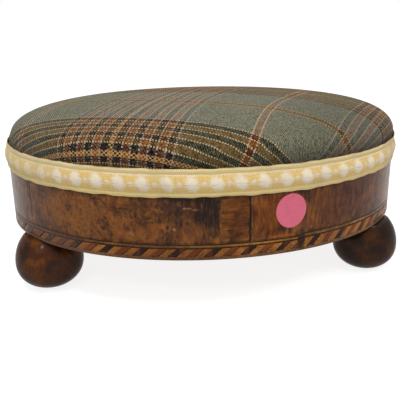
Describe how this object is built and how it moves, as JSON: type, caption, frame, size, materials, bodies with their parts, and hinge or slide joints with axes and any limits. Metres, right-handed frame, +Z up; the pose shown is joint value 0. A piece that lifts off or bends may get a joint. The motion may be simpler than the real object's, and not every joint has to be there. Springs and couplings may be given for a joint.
{
  "type": "upholstered footstool",
  "caption": "Low oval footstool: veneered and inlaid wooden carcass on turned bun feet, with a stuffed plaid seat edged in woven gimp braid.",
  "frame": {"origin": "on the floor, under the middle of the oval", "axes": "+Z up, +X along the oval's length, +Y towards the back"},
  "size_m": [0.2758, 0.2118, 0.1175],
  "materials": {
    "turned_wood": "turned hardwood, dark polish",
    "pine": "plain pine, unfinished",
    "burr_veneer": "burr walnut veneer, old polish with stains",
    "dark_inlay": "dark stained inlay under polish",
    "ochre_inlay": "boxwood-coloured inlay under polish",
    "jute_webbing": "woven jute webbing",
    "hessian_cloth": "open jute hessian",
    "horsehair": "curled hair stuffing",
    "cotton": "cotton wadding",
    "plaid_cloth": "twill-woven wool plaid in grey-green, navy, brick and ochre",
    "gimp": "woven gimp braid, gold-cream with white ovals",
    "sticker_paper": "plain pink paper, nothing written on it"
  },
  "bodies": {
    "root": {"base_board": "pine", "cotton_wadding": "cotton", "foot_back_left": "turned_wood", "foot_back_right": "turned_wood", "foot_front_left": "turned_wood", "foot_front_right": "turned_wood", "gimp_braid": "gimp", "hessian": "hessian_cloth", "horsehair_stuffing": "horsehair", "plaid_cover": "plaid_cloth", "ring_lower_1": "pine", "ring_lower_2": "pine", "ring_lower_3": "pine", "ring_lower_4": "pine", "ring_lower_5": "pine", "ring_lower_6": "pine", "ring_upper_1": "pine", "ring_upper_2": "pine", "ring_upper_3": "pine", "ring_upper_4": "pine", "ring_upper_5": "pine", "ring_upper_6": "pine", "rope_band_dark": "dark_inlay", "rope_band_light": "ochre_inlay", "sticker_blank": "sticker_paper", "stringing_dark": "dark_inlay", "stringing_ochre": "ochre_inlay", "veneer_leaf_1": "burr_veneer", "veneer_leaf_2": "burr_veneer", "veneer_leaf_3": "burr_veneer", "veneer_leaf_4": "burr_veneer", "veneer_leaf_5": "burr_veneer", "veneer_leaf_6": "burr_veneer", "veneer_leaf_7": "burr_veneer", "webbing_cross_1": "jute_webbing", "webbing_cross_2": "jute_webbing", "webbing_cross_3": "jute_webbing", "webbing_long_1": "jute_webbing", "webbing_long_2": "jute_webbing"}
  },
  "joints": []
}
